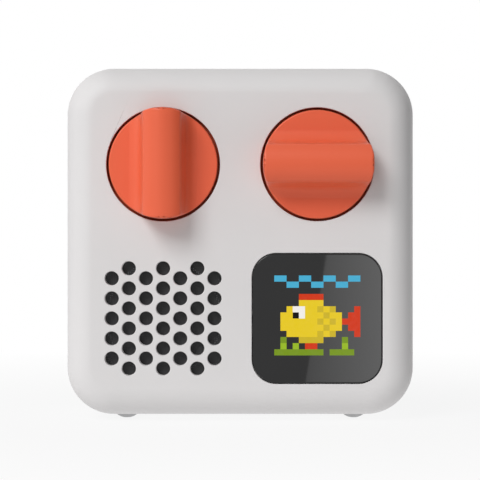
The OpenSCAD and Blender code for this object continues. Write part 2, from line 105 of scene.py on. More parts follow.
class Wiring:
    """Short ways to add nodes to a tree and to join them."""

    def __init__(self, tree):
        self.tree = tree

    def node(self, kind, **values):
        made = self.tree.nodes.new(kind)
        for key, value in values.items():
            setattr(made, key, value)
        return made

    def link(self, a, b):
        self.tree.links.new(a, b)

    def feed(self, value, socket):
        """Joins a socket to another one, or gives it a plain value."""
        if isinstance(value, bpy.types.NodeSocket):
            self.link(value, socket)
        else:
            socket.default_value = value

    def math(self, operation, *values, **settings):
        """One sum on sockets or plain values."""
        made = self.node("ShaderNodeMath", operation=operation, **settings)
        for value, socket in zip(values, made.inputs):
            self.feed(value, socket)
        return made.outputs["Value"]

    def vector(self, **parts):
        """A vector whose X, Y and Z are sockets or plain values. A part that isn't named is 0."""
        made = self.node("ShaderNodeCombineXYZ")
        for label, value in parts.items():
            self.feed(value, made.inputs[label])
        return made.outputs["Vector"]

    def part(self, vector, label):
        """The X, Y or Z of a vector."""
        parts = self.node("ShaderNodeSeparateXYZ")
        self.link(vector, parts.inputs["Vector"])
        return parts.outputs[label]

    def length(self, vector):
        measured = self.node("ShaderNodeVectorMath", operation="LENGTH")
        self.link(vector, measured.inputs[0])
        return measured.outputs["Value"]

    def spread(self, value, low, high, from_low=0.3, from_high=0.7):
        """A value moved to run from low to high. The defaults suit noise, which keeps near 0.5."""
        ranged = self.node("ShaderNodeMapRange")
        limits = {"From Min": from_low, "From Max": from_high, "To Min": low, "To Max": high}
        for label, limit in limits.items():
            self.feed(limit, ranged.inputs[label])
        self.link(value, ranged.inputs["Value"])
        return ranged.outputs["Result"]


class Finish(Wiring):
    """One procedural finish: a shader with nodes that read the piece's own place."""

    def __init__(self, name, **fixed):
        self.material = bpy.data.materials.new(name)
        self.material.use_nodes = True
        super().__init__(self.material.node_tree)
        self.shader = self.tree.nodes["Principled BSDF"]
        self.place = self.node("ShaderNodeTexCoord").outputs["Object"]
        self.bumps = None
        for socket, value in fixed.items():
            self.shader.inputs[socket.replace("_", " ")].default_value = value

    def noise(self, size, detail=2.0, stretch=(1, 1, 1), rough=0.5):
        """Noise whose grain is about size metres, from 0 to 1 around 0.5."""
        turned = self.node("ShaderNodeMapping")
        turned.inputs["Scale"].default_value = stretch
        self.link(self.place, turned.inputs["Vector"])
        noise = self.node("ShaderNodeTexNoise")
        noise.inputs["Scale"].default_value = 1 / size
        noise.inputs["Detail"].default_value = detail
        noise.inputs["Roughness"].default_value = rough
        self.link(turned.outputs["Vector"], noise.inputs["Vector"])
        return noise.outputs["Fac"]

    def mixed(self, value, first, second):
        """A colour between two, by a value from 0 to 1. Either may be a socket."""
        mix = self.node("ShaderNodeMix", data_type="RGBA")
        for label, given in (("Factor", value), ("A", first), ("B", second)):
            self.feed(given, mix.inputs[label])
        return mix.outputs["Result"]

    def colour(self, value, first, second):
        """The surface's colour between two, by a value from 0 to 1."""
        self.link(self.mixed(value, first, second), self.shader.inputs["Base Color"])

    def roughness(self, value):
        self.link(value, self.shader.inputs["Roughness"])

    def bump(self, value, height, strength=1.0):
        """Relief of height metres. Later reliefs lie on the earlier ones."""
        bump = self.node("ShaderNodeBump")
        bump.inputs["Distance"].default_value = height
        bump.inputs["Strength"].default_value = strength
        self.link(value, bump.inputs["Height"])
        if self.bumps:
            self.link(self.bumps, bump.inputs["Normal"])
        self.bumps = bump.outputs["Normal"]
        self.link(self.bumps, self.shader.inputs["Normal"])

    def inside_wells(self, nodes, wider, start, end):
        """1 within the round wells of these knobs, between two depths, and 0 elsewhere."""
        depth = self.part(self.place, "Y")
        deep = self.math("COMPARE", depth, FACE_Y + (start + end) / 2, (end - start) / 2)
        total = 0
        for low, high in map(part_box, nodes):
            middle = (low + high) / 2
            offset = self.node("ShaderNodeVectorMath", operation="MULTIPLY_ADD")
            self.link(self.place, offset.inputs[0])
            offset.inputs[1].default_value = (1, 0, 1)
            offset.inputs[2].default_value = (-middle.x, 0, -middle.z)
            far = self.length(offset.outputs["Vector"])
            near = self.math("LESS_THAN", far, (high.x - low.x) / 2 + wider)
            total = self.math("MULTIPLY_ADD", near, deep, total, use_clamp=True)
        return total

    def end_with(self, share, first, second):
        """Ends the material with two shaders, blended by a share from 0 to 1."""
        both = self.node("ShaderNodeMixShader")
        for given, socket in zip((share, first, second), both.inputs):
            self.link(given, socket)
        self.link(both.outputs["Shader"], self.tree.nodes["Material Output"].inputs["Surface"])

    def paint(self, *objects):
        for obj in objects:
            obj.data.materials.clear()
            obj.data.materials.append(self.material)


def moulded_plastic(name, colour, rough=0.45, grain=0.00022, relief=0.000006, **fixed):
    """Spark-eroded moulding: fine even grain, slight cloudiness."""
    f = Finish(name, **fixed)
    cloud = f.noise(0.02, 3)
    f.colour(f.spread(cloud, 0, 1), shade(colour, 0.985), shade(colour, 1.015))
    f.roughness(f.spread(f.noise(0.004, 4), rough - 0.03, rough + 0.03))
    f.bump(f.noise(grain, 2), relief)
    return f


def rubber(name, colour, rough=0.7):
    """Rubber or soft wire sheath, faintly mottled."""
    f = Finish(name)
    f.colour(f.spread(f.noise(0.0015, 4), 0, 1), shade(colour, 0.88), shade(colour, 1.1))
    f.roughness(f.spread(f.noise(0.0006, 3), rough - 0.08, rough + 0.08))
    f.bump(f.noise(0.0003, 3), 0.00001)
    return f


def plated_metal(name, colour, rough=0.3, along=(1, 1, 30)):
    """Rolled and plated sheet, with a faint grain along one way."""
    f = Finish(name, Metallic=1.0)
    f.colour(f.spread(f.noise(0.003, 4), 0, 1), shade(colour, 0.9), shade(colour, 1.06))
    f.roughness(f.spread(f.noise(0.0012, 3, along), rough - 0.07, rough + 0.1))
    f.bump(f.noise(0.0008, 2, along), 0.000004)
    return f


def lacquered_board(name):
    """Solder mask over copper: tracks show as a faint raised pattern."""
    f = Finish(name, Coat_Weight=0.4, Coat_Roughness=0.15)
    tracks = f.node("ShaderNodeTexBrick")
    tracks.offset = 0.37
    tracks.inputs["Scale"].default_value = 260
    tracks.inputs["Mortar Size"].default_value = 0.035
    turned = f.node("ShaderNodeMapping")
    turned.inputs["Rotation"].default_value = (math.pi / 2, 0, 0)
    f.link(f.place, turned.inputs["Vector"])
    f.link(turned.outputs["Vector"], tracks.inputs["Vector"])
    lines = tracks.outputs["Fac"]
    f.colour(lines, (0.006, 0.085, 0.035, 1), (0.016, 0.17, 0.075, 1))
    f.roughness(f.spread(f.noise(0.002, 3), 0.3, 0.42))
    f.bump(lines, 0.00002)
    return f


def wound_copper(name, axis):
    """Copper turns that lie side by side along one axis."""
    f = Finish(name, Metallic=1.0)
    turns = f.node("ShaderNodeTexWave", wave_type="BANDS", bands_direction=axis)
    turns.inputs["Scale"].default_value = 900
    turns.inputs["Distortion"].default_value = 0.4
    f.link(f.place, turns.inputs["Vector"])
    f.colour(turns.outputs["Fac"], (0.36, 0.13, 0.05, 1), (0.78, 0.36, 0.17, 1))
    f.roughness(f.spread(f.noise(0.002, 2), 0.25, 0.38))
    f.bump(turns.outputs["Fac"], 0.00002)
    return f


def felted_paper(name):
    """Black pressed paper with long fibres."""
    f = Finish(name)
    fibres = f.noise(0.0006, 8, (1, 3, 1), 0.7)
    f.colour(f.spread(fibres, 0, 1), (0.018, 0.018, 0.019, 1), (0.045, 0.044, 0.043, 1))
    f.roughness(f.spread(fibres, 0.78, 0.95))
    f.bump(fibres, 0.00003)
    return f


def sintered_magnet(name):
    """Dark ferrite with a coarse grain."""
    f = Finish(name)
    grain = f.noise(0.0003, 5, rough=0.65)
    f.colour(f.spread(grain, 0, 1), (0.035, 0.035, 0.038, 1), (0.09, 0.09, 0.095, 1))
    f.roughness(f.spread(grain, 0.5, 0.7))
    f.bump(grain, 0.00001)
    return f


def crinkled_foil(name):
    """The battery pouch's laminated foil."""
    f = Finish(name, Metallic=1.0)
    creases = f.noise(0.006, 5, rough=0.6)
    f.colour(f.spread(creases, 0, 1), (0.5, 0.51, 0.53, 1), (0.72, 0.73, 0.75, 1))
    f.roughness(f.spread(f.noise(0.002, 3), 0.3, 0.46))
    f.bump(creases, 0.00012)
    return f


def open_foam(name):
    """Black foam whose cells show as pits."""
    f = Finish(name)
    cells = f.node("ShaderNodeTexVoronoi")
    cells.inputs["Scale"].default_value = 2200
    f.link(f.place, cells.inputs["Vector"])
    depth = cells.outputs["Distance"]
    f.colour(f.spread(depth, 0, 1, 0.1, 0.6), (0.07, 0.07, 0.07, 1), (0.012, 0.012, 0.012, 1))
    f.roughness(f.spread(depth, 0.85, 0.98, 0.1, 0.6))
    f.bump(depth, 0.00012)
    return f


def woven_thread(name):
    """Dark twisted polyester thread."""
    f = Finish(name, Sheen_Weight=0.15, Sheen_Roughness=0.4)
    twist = f.noise(0.00012, 3, rough=0.6)
    f.colour(f.spread(twist, 0, 1), linear(38, 38, 39), linear(62, 62, 64))
    f.roughness(f.spread(twist, 0.6, 0.8))
    f.bump(twist, 0.00001)
    return f


def polished_black(name):
    """The display window: smooth black moulding with the slightest waviness."""
    f = Finish(name, IOR=1.45)
    haze = f.noise(0.012, 2)
    f.colour(f.spread(haze, 0, 1), (0.002, 0.002, 0.0022, 1), (0.0035, 0.0035, 0.0038, 1))
    f.roughness(f.spread(f.noise(0.006, 3), 0.03, 0.05))
    f.bump(haze, 0.000004, 0.4)
    return f


def lit_pixel(name):
    """A pixel of the picture: its own light, and only a trace of gloss."""
    f = Finish(name, Specular_IOR_Level=0.05, Emission_Strength=0.62)
    tint = f.node("ShaderNodeAttribute", attribute_name="tint")
    glow = f.noise(0.0009, 2)
    even = f.mixed(f.spread(glow, 0.0, 0.02), tint.outputs["Color"], (1, 1, 1, 1))
    f.link(even, f.shader.inputs["Emission Color"])
    dim = f.node("ShaderNodeVectorMath", operation="SCALE")
    dim.inputs["Scale"].default_value = 0.38
    f.link(tint.outputs["Color"], dim.inputs[0])
    f.link(dim.outputs["Vector"], f.shader.inputs["Base Color"])
    f.roughness(f.spread(f.noise(0.006, 3), 0.03, 0.06))
    return f


# ---- making pieces ----

def add_piece(name, mesh):
    """A new object at the origin, unturned, with its place in its mesh."""
    obj = bpy.data.objects.new(name, mesh)
    bpy.context.scene.collection.objects.link(obj)
    return obj


def split_flat_faces(bm, columns):
    """Splits the faces that look forwards or back at each x of columns. Returns the new edges."""
    kept = set()
    for x in columns:
        crossed = []
        for face in bm.faces:
            across = [v.co.x for v in face.verts]
            if abs(face.normal.y) > 0.999 and min(across) < x < max(across):
                crossed.append(face)
        edges = {e for face in crossed for e in face.edges}
        verts = {v for face in crossed for v in face.verts}
        cut = bmesh.ops.bisect_plane(bm, geom=[*crossed, *edges, *verts], dist=TINY, plane_co=(x, 0, 0),
                                     plane_no=(1, 0, 0))
        kept.update(e for e in cut["geom_cut"] if isinstance(e, bmesh.types.BMEdge))
    return kept


def mark_edges(bm, node, sharp, skin):
    """Marks the edges to be rounded, which turn by more than sharp degrees.
    Those deeper than skin inside the solid's box stay sharp."""
    low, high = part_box(node)
    weight = bm.edges.layers.float.new("bevel_weight_edge")
    for edge in bm.edges:
        if not edge.is_manifold or edge.calc_face_angle() <= math.radians(sharp):
            continue
        depths = [min(*(v.co - low), *(high - v.co)) for v in edge.verts]
        if min(depths) < skin:
            edge[weight] = 1.0
        else:
            edge.smooth = False


def softened(node, name, radius, sharp=28.0, steps=2, columns=(), skin=math.inf):
    """A copy of a solid whose sharp edges are rounded off in steps, in place of the solid.
    The flat faces are split at each x of columns. Where columns run through all the holes,
    no face is left that runs round one, and the rounding can't cover it."""
    source = NODES[node]
    plain = bpy.data.meshes.new(name)
    corners = [v.co.copy() for v in source.data.vertices]
    plain.from_pydata(corners, [], [list(p.vertices) for p in source.data.polygons])
    bm = bmesh.new()
    bm.from_mesh(plain)
    bmesh.ops.remove_doubles(bm, verts=bm.verts, dist=2 * TINY)
    bmesh.ops.dissolve_degenerate(bm, edges=bm.edges, dist=TINY)
    kept = split_flat_faces(bm, columns)
    ends = {v for e in kept for v in e.verts}
    free_edges = [e for e in bm.edges if e not in kept]
    free_verts = [v for v in bm.verts if v not in ends]
    bmesh.ops.dissolve_limit(bm, angle_limit=FLAT, verts=free_verts, edges=free_edges)
    for face in bm.faces:
        face.smooth = True
    mark_edges(bm, node, sharp, skin)
    bm.to_mesh(plain)
    bm.free()
    obj = add_piece(name, plain)
    rounding = obj.modifiers.new("edge rounding", "BEVEL")
    rounding.width = radius
    rounding.segments = steps
    rounding.limit_method = "WEIGHT"
    rounding.use_clamp_overlap = False
    rounding.loop_slide = False
    rounding.miter_outer = "MITER_ARC"
    even = obj.modifiers.new("even shading", "WEIGHTED_NORMAL")
    even.weight = 60
    even.keep_sharp = True
    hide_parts(node)
    return obj


def socket_id(tree, name):
    """The identifier by which a modifier sets a named input."""
    for item in tree.interface.items_tree:
        if item.item_type == "SOCKET" and item.in_out == "INPUT" and item.name == name:
            return item.identifier
    raise RuntimeError(f"the tree {tree.name} has no input named {name}")


class Repeater(Wiring):
    """A geometry tree with named inputs, made and then turned into a plain mesh."""

    def __init__(self, name, sizes):
        super().__init__(bpy.data.node_groups.new(name, "GeometryNodeTree"))
        face = self.tree.interface
        face.new_socket("Geometry", in_out="INPUT", socket_type="NodeSocketGeometry")
        for label, default in sizes.items():
            kind = "NodeSocketInt" if isinstance(default, int) else "NodeSocketFloat"
            face.new_socket(label, in_out="INPUT", socket_type=kind).default_value = default
        face.new_socket("Geometry", in_out="OUTPUT", socket_type="NodeSocketGeometry")
        self.start = self.node("NodeGroupInput")
        self.end = self.node("NodeGroupOutput")

    def given(self, label):
        """The socket of one of the tree's named inputs."""
        return self.start.outputs[label]

    def block(self, x, y, z):
        """A box of these sizes."""
        cube = self.node("GeometryNodeMeshCube")
        self.link(self.vector(X=x, Y=y, Z=z), cube.inputs["Size"])
        return cube.outputs["Mesh"]

    def copies(self, points, piece, **others):
        """A copy of a piece on each of the points. Other inputs of the node are given by their names."""
        laid = self.node("GeometryNodeInstanceOnPoints")
        for label, value in {"Points": points, "Instance": piece, **others}.items():
            self.feed(value, laid.inputs[label])
        return laid.outputs["Instances"]

    def close(self, geometry, material):
        """Ends the tree: real geometry with its material."""
        real = self.node("GeometryNodeRealizeInstances")
        painted = self.node("GeometryNodeSetMaterial")
        painted.inputs["Material"].default_value = material
        self.link(geometry, real.inputs["Geometry"])
        self.link(real.outputs["Geometry"], painted.inputs["Geometry"])
        self.link(painted.outputs["Geometry"], self.end.inputs["Geometry"])

    def make(self, name, carrier, values):
        """Runs the tree on a carrier mesh and keeps only the result."""
        holder = add_piece(name + "_carrier", carrier)
        run = holder.modifiers.new("repeat", "NODES")
        run.node_group = self.tree
        for label, value in values.items():
            run[socket_id(self.tree, label)] = value
        bpy.context.view_layer.update()
        evaluated = holder.evaluated_get(bpy.context.evaluated_depsgraph_get())
        mesh = bpy.data.meshes.new_from_object(evaluated)
        mesh.name = name
        bpy.data.objects.remove(holder)
        if not mesh.polygons:
            raise RuntimeError(f"{name} came out empty")
        return add_piece(name, mesh)


# ---- sizes and colours a user may change ----

class HousingSettings(bpy.types.PropertyGroup):
    colour: FloatVectorProperty(
        name="Colour", description="Colour of the housing", subtype="COLOR", size=3,
        default=linear(216, 214, 214)[:3], min=0, max=1)
    # Painted shade and orange bounce light from the knob, laid on the housing deep in each knob's well
    painted_well_bounce: FloatVectorProperty(
        name="Well colour", description="Colour deep in the wells of the knobs", subtype="COLOR", size=3,
        default=linear(220, 99, 65)[:3], min=0, max=1)
    edge: FloatProperty(
        name="Edge rounding", description="Radius of the small edges at openings", unit="LENGTH",
        default=0.15 * MM, min=0.02 * MM, max=0.4 * MM)


class KnobSettings(bpy.types.PropertyGroup):
    colour: FloatVectorProperty(
        name="Colour", description="Colour of the knobs", subtype="COLOR", size=3,
        default=linear(227, 99, 66)[:3], min=0, max=1)
    edge: FloatProperty(
        name="Edge rounding", description="Radius along the bar's creases and the rim", unit="LENGTH",
        default=0.3 * MM, min=0.05 * MM, max=0.6 * MM)


class DisplaySettings(bpy.types.PropertyGroup):
    pitch: FloatProperty(
        name="Pixel pitch", description="Distance between pixels", unit="LENGTH",
        default=1.22 * MM, min=0.8 * MM, max=1.4 * MM)
    gap: FloatProperty(
        name="Pixel gap", description="Dark line between two pixels", unit="LENGTH",
        default=0.0, min=0.0, max=0.4 * MM)
    count: IntProperty(name="Pixels", description="Pixels each way", default=16, min=8, max=24)


class ClothSettings(bpy.types.PropertyGroup):
    pitch: FloatProperty(
        name="Thread pitch", description="Distance between threads", unit="LENGTH",
        default=0.36 * MM, min=0.2 * MM, max=1.0 * MM)
    width: FloatProperty(
        name="Thread width", description="Width of one thread", unit="LENGTH",
        default=0.24 * MM, min=0.1 * MM, max=0.6 * MM)


class StudioSettings(bpy.types.PropertyGroup):
    distance: FloatProperty(
        name="Camera distance", description="From the camera to the front face", unit="LENGTH",
        default=0.320, min=0.15, max=2.0)
    lens: FloatProperty(
        name="Lens", description="Focal length in millimetres", default=120.96, min=30, max=300)
    key: FloatProperty(
        name="Key light", description="Power of the main lamp", unit="POWER", default=6.2, min=0, max=50)
    side: FloatProperty(
        name="Side light", description="Power of the lamp at the left", unit="POWER",
        default=0.5, min=0, max=50)
    back: FloatProperty(
        name="Back light", description="Power of the lamp behind, at the right", unit="POWER",
        default=0.35, min=0, max=50)
    bounce: FloatProperty(
        name="Floor bounce", description="How much the white floor shines up beside the object",
        default=0.7, min=0, max=1)
    room: FloatProperty(
        name="Room light", description="Strength of the even light around", default=0.29, min=0, max=2)
    lean: FloatProperty(
        name="Room lean", description="How much brighter the room is at the left than in the middle",
        default=0.1, min=0, max=1)


SETTINGS = {
    "player_housing": HousingSettings,
    "player_knobs": KnobSettings,
    "player_display": DisplaySettings,
    "player_cloth": ClothSettings,
    "player_studio": StudioSettings,
}


# ---- one operator for each group of pieces ----

class PLAYER_OT_housing(bpy.types.Operator):
    """Front shell, rear cover and power button in fine-grained plastic with softened edges"""
    bl_idname = "player.housing"
    bl_label = "Housing"

    def execute(self, context):
        s = context.scene.player_housing
        finish = moulded_plastic("housing_plastic", (*s.colour, 1), 0.5, Specular_IOR_Level=0.3)
        plain = finish.shader.inputs["Base Color"].links[0].from_socket
        # Paints shade and the knobs' orange bounce light onto the housing deep in their wells
        wells = finish.inside_wells(("left_knob", "right_knob"), PAINTED_BOUNCE_PAST_KNOB, *PAINTED_BOUNCE_DEPTHS)
        finish.colour(wells, plain, (*s.painted_well_bounce, 1))
        grille = range(-GRILLE_SIDE_COLUMNS, GRILLE_SIDE_COLUMNS + 1)
        columns = {
            "front_shell": [GRILLE_X + GRILLE_PITCH * i for i in grille] + [LENS_MID.x],
            "rear_cover": [SCREWS_LO.x + SCREW_HEAD_R, SCREWS_HI.x - SCREW_HEAD_R],
        }
        for node, places in columns.items():
            obj = softened(node, node + "_dressed", s.edge, columns=places, skin=HOUSING_SKIN)
            finish.paint(obj)
            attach(obj, "housing")
        button = softened("power_button", "power_button_dressed", 0.25 * MM)
        finish.paint(button)
        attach(button, "power_button")
        return {"FINISHED"}


class PLAYER_OT_knobs(bpy.types.Operator):
    """The two push-and-turn knobs in satin orange plastic"""
    bl_idname = "player.knobs"
    bl_label = "Knobs"

    def execute(self, context):
        s = context.scene.player_knobs
        finish = moulded_plastic("knob_plastic", (*s.colour, 1), 0.38, 0.0003, 0.000003,
                                 Specular_IOR_Level=0.3)
        for side in ("left", "right"):
            obj = softened(side + "_knob", side + "_knob_dressed", s.edge, sharp=20.0, steps=3)
            finish.paint(obj)
            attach(obj, side + "_knob")
        return {"FINISHED"}


def picture_tint(col, row):
    """Colour of one pixel of the picture, a fish between weeds, or None where it stays dark.
    Columns count from the left and rows from the top."""
    yellow, gold = linear(232, 202, 36), linear(205, 180, 40)
    sky, red = linear(72, 174, 210), linear(210, 56, 22)
    lime, moss = linear(152, 186, 34), linear(120, 150, 30)
    white, black = linear(243, 240, 234), linear(9, 9, 9)
    if row == 1 and col % 4 in (1, 2) or row == 2 and col % 4 in (3, 0) and 0 < col < 15:
        return sky
    if (col, row) == (4, 7):
        return black
    if (col, row) in ((4, 6), (5, 6), (5, 7)):
        return white
    if ((col - 6.5) / 5.0) ** 2 + ((row - 8) / 3.4) ** 2 <= 1:
        return gold if row == 11 or 8 <= col <= 10 and (col + row) % 2 == 0 else yellow
    if 12 <= col <= 14 and abs(row - 8) <= col - 12 + 0.4:
        return red
    if row == 4 and 5 <= col <= 8 or row == 12 and 6 <= col <= 7:
        return red
    for stem, top in ((2, 11), (12, 11), (4, 12)):
        if col == stem and top <= row <= 13:
            return moss if row % 2 else lime
    if row == 13 and 1 <= col <= 14 and col % 5 != 4:
        return moss
    return None


class PLAYER_OT_display(bpy.types.Operator):
    """The display's black window and the lit picture in it"""
    bl_idname = "player.display"
    bl_label = "Display"

    def picture_points(self, count, pitch):
        """A point on the window's front for each lit pixel, which carries its tint."""
        places, tints = [], []
        middle = (count - 1) / 2
        for row in range(count):
            for col in range(count):
                tint = picture_tint(col, row)
                if tint:
                    x = LENS_MID.x + (col - middle) * pitch
                    z = LENS_MID.z - (row - middle) * pitch
                    places.append((x, LENS_LO.y, z))
                    tints.append(tint)
        carrier = bpy.data.meshes.new("picture_places")
        carrier.from_pydata(places, [], [])
        layer = carrier.attributes.new("tint", "FLOAT_COLOR", "POINT")
        layer.data.foreach_set("color", [c for tint in tints for c in tint])
        return carrier

    def execute(self, context):
        s = context.scene.player_display
        window = softened("display_lens", "display_window", 0.2 * MM, sharp=40.0, steps=3)
        polished_black("window_black").paint(window)
        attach(window, "housing")
        carrier = self.picture_points(s.count, s.pitch)
        sizes = {"Tile width": s.pitch - s.gap, "Tile thickness": PIXEL_THICK}
        tiles = Repeater("pixel_tiles", sizes)
        width = tiles.given("Tile width")
        tile = tiles.block(width, tiles.given("Tile thickness"), width)
        laid = tiles.copies(tiles.given("Geometry"), tile)
        tiles.close(laid, lit_pixel("picture_pixel").material)
        picture = tiles.make("display_picture", carrier, sizes)
        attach(picture, "housing")
        return {"FINISHED"}


class PLAYER_OT_cloth(bpy.types.Operator):
    """The woven cloth behind the grille, thread by thread, a square patch with rounded corners"""
    bl_idname = "player.cloth"
    bl_label = "Grille cloth"

    def threads(self, weave):
        """Threads side by side along X, each as long as the patch is at its place."""
        pitch, count, radius = map(weave.given, ("Thread pitch", "Threads", "Cloth radius"))
        span = weave.math("MULTIPLY", weave.math("SUBTRACT", count, 1.0), pitch)
        line = weave.node("GeometryNodeMeshLine", mode="OFFSET")
        weave.link(count, line.inputs["Count"])
        weave.link(weave.vector(X=weave.math("MULTIPLY", span, -0.5)), line.inputs["Start Location"])
        weave.link(weave.vector(X=pitch), line.inputs["Offset"])
        thread = weave.block(weave.given("Thread width"), weave.given("Thread thickness"), 1.0)
        x = weave.part(weave.node("GeometryNodeInputPosition").outputs["Position"], "X")
        corner = weave.math("POWER", weave.math("MULTIPLY", radius, CLOTH_CORNER), 2.0)
        rest = weave.math("SUBTRACT", corner, weave.math("POWER", x, 2.0))
        half = weave.math("MINIMUM", weave.math("SQRT", rest), radius)
        stretch = weave.vector(X=1.0, Y=1.0, Z=weave.math("MULTIPLY", half, 2.0))
        return weave.copies(line.outputs["Mesh"], thread, Scale=stretch)

    def execute(self, context):
        s = context.scene.player_cloth
        low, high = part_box("acoustic_mesh")
        middle = (low + high) / 2
        radius = (high.x - low.x) / 2 - CLOTH_INSET
        sizes = {
            "Cloth radius": radius,
            "Thread pitch": s.pitch,
            "Thread width": s.width,
            "Thread thickness": (high.y - low.y) / 2 * CLOTH_FILL,
            "Threads": int(2 * radius / s.pitch),
        }
        weave = Repeater("grille_weave", sizes)
        layer = self.threads(weave)
        both = weave.node("GeometryNodeJoinGeometry")
        for turn, depth in ((0.0, -0.5), (math.pi / 2, 0.5)):
            move = weave.node("GeometryNodeTransform")
            shift = weave.vector(Y=weave.math("MULTIPLY", weave.given("Thread thickness"), depth))
            weave.link(shift, move.inputs["Translation"])
            move.inputs["Rotation"].default_value = (0, turn, 0)
            weave.link(layer, move.inputs["Geometry"])
            weave.link(move.outputs["Geometry"], both.inputs["Geometry"])
        weave.close(both.outputs["Geometry"], woven_thread("cloth_thread").material)
        empty = bpy.data.meshes.new("cloth_place")
        empty.from_pydata([(0, 0, 0)], [], [])
        cloth = weave.make("grille_cloth", empty, sizes)
        for vertex in cloth.data.vertices:
            vertex.co += middle
        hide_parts("acoustic_mesh")
        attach(cloth, "housing")
        return {"FINISHED"}


class PLAYER_OT_ports(bpy.types.Operator):
    """Sockets in the right wall"""
    bl_idname = "player.ports"
    bl_label = "Ports"

    def execute(self, context):
        steel = plated_metal("port_steel", (0.6, 0.61, 0.63, 1), 0.26, (1, 30, 1))
        black = moulded_plastic("port_black", linear(30, 30, 31), 0.4)
        for node, finish in (("usb_c_shell", steel), ("headphone_jack", black)):
            obj = softened(node, node + "_dressed", 0.1 * MM, sharp=35.0)
            finish.paint(obj)
            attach(obj, "housing")
        black.paint(NODES["usb_c_tongue"])
        return {"FINISHED"}


class PLAYER_OT_feet(bpy.types.Operator):
    """Four grey rubber feet"""
    bl_idname = "player.feet"
    bl_label = "Feet"

    def execute(self, context):
        finish = rubber("foot_rubber", linear(182, 182, 183))
        for node in NODES:
            if node.startswith("foot_"):
                obj = softened(node, node + "_dressed", 0.2 * MM, sharp=25.0)
                finish.paint(obj)
                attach(obj, "housing")
        return {"FINISHED"}


class PLAYER_OT_screws(bpy.types.Operator):
    """Cross-recess screws of the cover and the main board"""
    bl_idname = "player.screws"
    bl_label = "Screws"

    def execute(self, context):
        finish = plated_metal("screw_steel", (0.32, 0.33, 0.34, 1), 0.3, (1, 1, 1))
        for node in ("shell_screws", "board_screws"):
            obj = softened(node, node + "_dressed", 0.12 * MM, sharp=35.0)
            finish.paint(obj)
            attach(obj, "housing")
        return {"FINISHED"}


class PLAYER_OT_display_inside(bpy.types.Operator):
    """Layers behind the display's window"""
    bl_idname = "player.display_inside"
    bl_label = "Display layers"

    def execute(self, context):
        rubber("gasket_rubber", (0.02, 0.02, 0.02, 1)).paint(NODES["lens_gasket"])
        moulded_plastic("diffuser_white", linear(190, 190, 192), 0.6).paint(NODES["diffuser_sheet"])
        moulded_plastic("grid_black", linear(34, 34, 36), 0.55).paint(NODES["pixel_grid"])
        lacquered_board("matrix_lacquer").paint(NODES["matrix_board"])
        moulded_plastic("led_resin", linear(240, 236, 220), 0.25, 0.0006).paint(NODES["matrix_leds"])
        moulded_plastic("ribbon_film", linear(196, 150, 70), 0.3, 0.001).paint(NODES["matrix_ribbon"])
        return {"FINISHED"}


class PLAYER_OT_speaker(bpy.types.Operator):
    """Pieces of the loudspeaker"""
    bl_idname = "player.speaker"
    bl_label = "Loudspeaker"

    def execute(self, context):
        soft = rubber("speaker_rubber", (0.022, 0.022, 0.022, 1))
        soft.paint(NODES["speaker_gasket"], NODES["speaker_surround"])
        plated_metal("basket_steel", (0.52, 0.53, 0.55, 1), 0.38).paint(NODES["speaker_basket"])
        felted_paper("cone_paper").paint(NODES["speaker_cone"], NODES["speaker_dust_cap"])
        wound_copper("coil_copper", "Y").paint(NODES["voice_coil"])
        sintered_magnet("magnet_ferrite").paint(NODES["speaker_magnet"])
        plated_metal("yoke_steel", (0.6, 0.6, 0.61, 1), 0.3, (1, 1, 1)).paint(NODES["speaker_yoke"])
        rubber("wire_red", linear(176, 34, 28), 0.45).paint(NODES["speaker_wires"])
        return {"FINISHED"}


class PLAYER_OT_boards(bpy.types.Operator):
    """Main board and what it carries"""
    bl_idname = "player.boards"
    bl_label = "Boards"

    def execute(self, context):
        lacquered_board("board_lacquer").paint(NODES["main_board"], NODES["nfc_board"])
        shields = plated_metal("shield_tin", (0.66, 0.67, 0.68, 1), 0.34)
        shields.paint(NODES["wifi_module"], NODES["memory_card_socket"])
        chips = moulded_plastic("chip_resin", linear(38, 38, 40), 0.5)
        chips.paint(NODES["amplifier_chip"], NODES["memory_card"], NODES["power_switch"])
        wound_copper("reader_copper", "X").paint(NODES["nfc_coil"])
        moulded_plastic("connector_ivory", linear(236, 230, 212), 0.4).paint(NODES["battery_connector"])
        return {"FINISHED"}


class PLAYER_OT_power(bpy.types.Operator):
    """Battery, its foam and wires"""
    bl_idname = "player.power"
    bl_label = "Battery"

    def execute(self, context):
        crinkled_foil("pouch_foil").paint(NODES["battery"])
        open_foam("pad_foam").paint(NODES["battery_foam"])
        rubber("battery_wire_red", linear(170, 32, 28), 0.45).paint(NODES["battery_wires"])
        return {"FINISHED"}


class PLAYER_OT_reader(bpy.types.Operator):
    """Card chute below the slot"""
    bl_idname = "player.reader"
    bl_label = "Card chute"

    def execute(self, context):
        chute = softened("card_chute", "card_chute_dressed", 0.15 * MM, sharp=35.0)
        moulded_plastic("chute_black", linear(40, 40, 42), 0.5).paint(chute)
        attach(chute, "housing")
        return {"FINISHED"}


class PLAYER_OT_encoders(bpy.types.Operator):
    """Encoders behind the knobs"""
    bl_idname = "player.encoders"
    bl_label = "Encoders"

    def execute(self, context):
        plated_metal("can_tin", (0.62, 0.63, 0.64, 1), 0.32).paint(NODES["encoder_cans"])
        brass = plated_metal("bushing_brass", (0.74, 0.56, 0.24, 1), 0.28, (1, 1, 1))
        brass.paint(NODES["encoder_bushings"])
        moulded_plastic("base_black", linear(36, 36, 38), 0.5).paint(NODES["encoder_bases"])
        for side in ("left", "right"):
            steel = plated_metal(side + "_shaft_steel", (0.55, 0.56, 0.57, 1), 0.25, (1, 20, 1))
            steel.paint(NODES[side + "_shaft"])
            ivory = moulded_plastic(side + "_plunger_ivory", linear(226, 222, 204), 0.4)
            ivory.paint(NODES[side + "_plunger"])
        return {"FINISHED"}


def flat_piece(name, corners):
    """A piece of the stage: one face with four corners."""
    mesh = bpy.data.meshes.new(name)
    mesh.from_pydata(corners, [], [(0, 1, 2, 3)])
    return add_piece(name, mesh)


